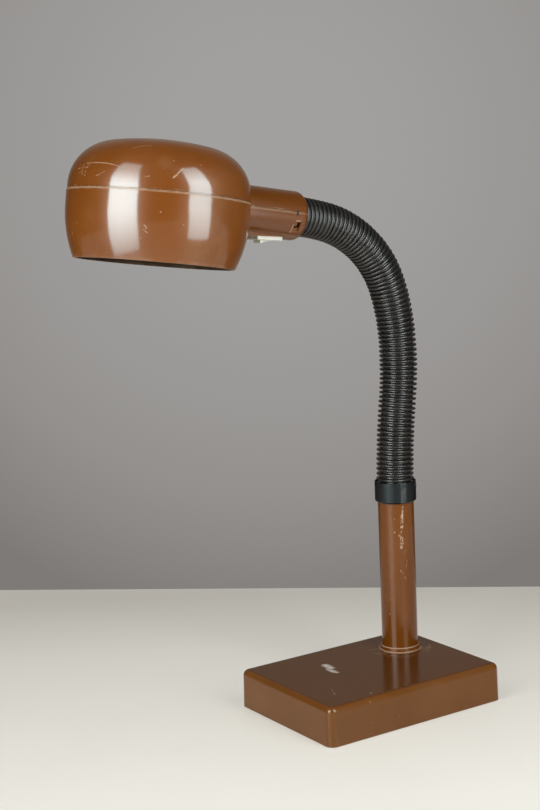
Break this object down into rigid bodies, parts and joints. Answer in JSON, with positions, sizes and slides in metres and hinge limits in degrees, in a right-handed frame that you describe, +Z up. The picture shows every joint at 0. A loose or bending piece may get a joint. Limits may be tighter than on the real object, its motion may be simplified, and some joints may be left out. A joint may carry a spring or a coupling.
{
  "type": "gooseneck desk lamp",
  "caption": "Desk lamp with a weighted rectangular base, an upright tube, a ribbed bending arm and a drum-shaped clamshell head with a rocker switch under its neck.",
  "frame": {"origin": "centre of the base's underside, on the surface the lamp stands on", "axes": "+X along the base's long side, away from the head; +Y along its short side; +Z up"},
  "size_m": [0.3494, 0.1702, 0.5086],
  "materials": {
    "head_plastic": "glossy moulded",
    "base_plastic": "glossy moulded, a little worn",
    "stem_paint": "glossy paint",
    "collar_plastic": "glossy black",
    "sleeve_vinyl": "satin black",
    "core_steel": "zinc plated",
    "fastener_steel": "zinc plated",
    "cast_weight": "as cast",
    "cover_board": "matt",
    "felt": "felt",
    "grommet_rubber": "matt",
    "phenolic": "moulded phenolic",
    "contact_brass": "plain",
    "shield_aluminium": "bright pressed",
    "cap_aluminium": "rolled thread",
    "bulb_glass": "inside frosted",
    "switch_white": "cream white"
  },
  "bodies": {
    "base": {"base_shell": "base_plastic", "base_cover": "cover_board", "base_pad": "felt", "cover_screws": "fastener_steel", "base_weight": "cast_weight", "cord_grommet": "grommet_rubber", "stem_tube": "stem_paint", "stem_foot_ring": "stem_paint", "stem_rod": "fastener_steel", "rod_washer": "fastener_steel", "rod_nut": "fastener_steel", "stem_plug": "collar_plastic", "collar": "collar_plastic", "collar_screw": "fastener_steel", "lower_coupler": "contact_brass", "sleeve_link_01": "sleeve_vinyl", "core_link_01": "core_steel"},
    "arm_02": {"sleeve_link_02": "sleeve_vinyl", "core_link_02": "core_steel"},
    "arm_03": {"sleeve_link_03": "sleeve_vinyl", "core_link_03": "core_steel"},
    "arm_04": {"sleeve_link_04": "sleeve_vinyl", "core_link_04": "core_steel"},
    "arm_05": {"sleeve_link_05": "sleeve_vinyl", "core_link_05": "core_steel"},
    "arm_06": {"sleeve_link_06": "sleeve_vinyl", "core_link_06": "core_steel"},
    "arm_07": {"sleeve_link_07": "sleeve_vinyl", "core_link_07": "core_steel"},
    "arm_08": {"sleeve_link_08": "sleeve_vinyl", "core_link_08": "core_steel"},
    "arm_09": {"sleeve_link_09": "sleeve_vinyl", "core_link_09": "core_steel"},
    "arm_10": {"sleeve_link_10": "sleeve_vinyl", "core_link_10": "core_steel"},
    "arm_11": {"sleeve_link_11": "sleeve_vinyl", "core_link_11": "core_steel"},
    "head": {"sleeve_link_12": "sleeve_vinyl", "core_link_12": "core_steel", "upper_shell": "head_plastic", "lower_shell": "head_plastic", "upper_coupler": "contact_brass", "neck_washer": "fastener_steel", "neck_nut": "fastener_steel", "holder_plate": "fastener_steel", "holder_screws": "fastener_steel", "lampholder": "phenolic", "socket_shell": "contact_brass", "centre_contact": "contact_brass", "heat_shield": "shield_aluminium", "shield_screws": "fastener_steel", "switch_body": "switch_white", "switch_terminals": "contact_brass"},
    "bulb": {"bulb_cap": "cap_aluminium", "bulb_glass": "bulb_glass"},
    "rocker": {"switch_rocker": "switch_white"}
  },
  "joints": [
    {"name": "arm_bend", "type": "hinge", "parent": "base", "child": "arm_02", "pos_m": [0.05565, 0.0255, 0.21463], "axis": [0, -1, 0], "range_deg": [-10, 10]},
    {"name": "arm_swing", "type": "hinge", "parent": "arm_02", "child": "arm_03", "pos_m": [0.05746, 0.0255, 0.24057], "axis": [-0.9959, 0, 0.0903], "range_deg": [-10, 10]},
    {"name": "arm_bend_2", "type": "hinge", "parent": "arm_03", "child": "arm_04", "pos_m": [0.06034, 0.0255, 0.26641], "axis": [0, -1, 0], "range_deg": [-10, 10]},
    {"name": "arm_swing_2", "type": "hinge", "parent": "arm_04", "child": "arm_05", "pos_m": [0.06252, 0.0255, 0.29232], "axis": [-0.9993, 0, 0.0386], "range_deg": [-10, 10]},
    {"name": "arm_bend_3", "type": "hinge", "parent": "arm_05", "child": "arm_06", "pos_m": [0.06235, 0.0255, 0.31831], "axis": [0, -1, 0], "range_deg": [-10, 10]},
    {"name": "arm_swing_3", "type": "hinge", "parent": "arm_06", "child": "arm_07", "pos_m": [0.05946, 0.0255, 0.34414], "axis": [-0.9839, 0, -0.1786], "range_deg": [-10, 10]},
    {"name": "arm_bend_4", "type": "hinge", "parent": "arm_07", "child": "arm_08", "pos_m": [0.05306, 0.0255, 0.36932], "axis": [0, -1, 0], "range_deg": [-10, 10]},
    {"name": "arm_swing_4", "type": "hinge", "parent": "arm_08", "child": "arm_09", "pos_m": [0.04151, 0.0255, 0.39253], "axis": [-0.824, 0, -0.5666], "range_deg": [-10, 10]},
    {"name": "arm_bend_5", "type": "hinge", "parent": "arm_09", "child": "arm_10", "pos_m": [0.02402, 0.0255, 0.41166], "axis": [0, -1, 0], "range_deg": [-10, 10]},
    {"name": "arm_swing_5", "type": "hinge", "parent": "arm_10", "child": "arm_11", "pos_m": [0.0022, 0.0255, 0.42569], "axis": [-0.4302, 0, -0.9027], "range_deg": [-10, 10]},
    {"name": "arm_bend_6", "type": "hinge", "parent": "arm_11", "child": "head", "pos_m": [-0.02238, 0.0255, 0.43401], "axis": [0, -1, 0], "range_deg": [-10, 10]},
    {"name": "bulb_unscrew", "type": "slide", "parent": "head", "child": "bulb", "axis": [-0.9877, 0, 0.1564], "range_m": [0, 0.026]},
    {"name": "rocker_tilt", "type": "hinge", "parent": "head", "child": "rocker", "pos_m": [-0.07659, 0.02514, 0.42259], "axis": [-0.0027, 0.9998, -0.0172], "range_deg": [0, 20]}
  ]
}
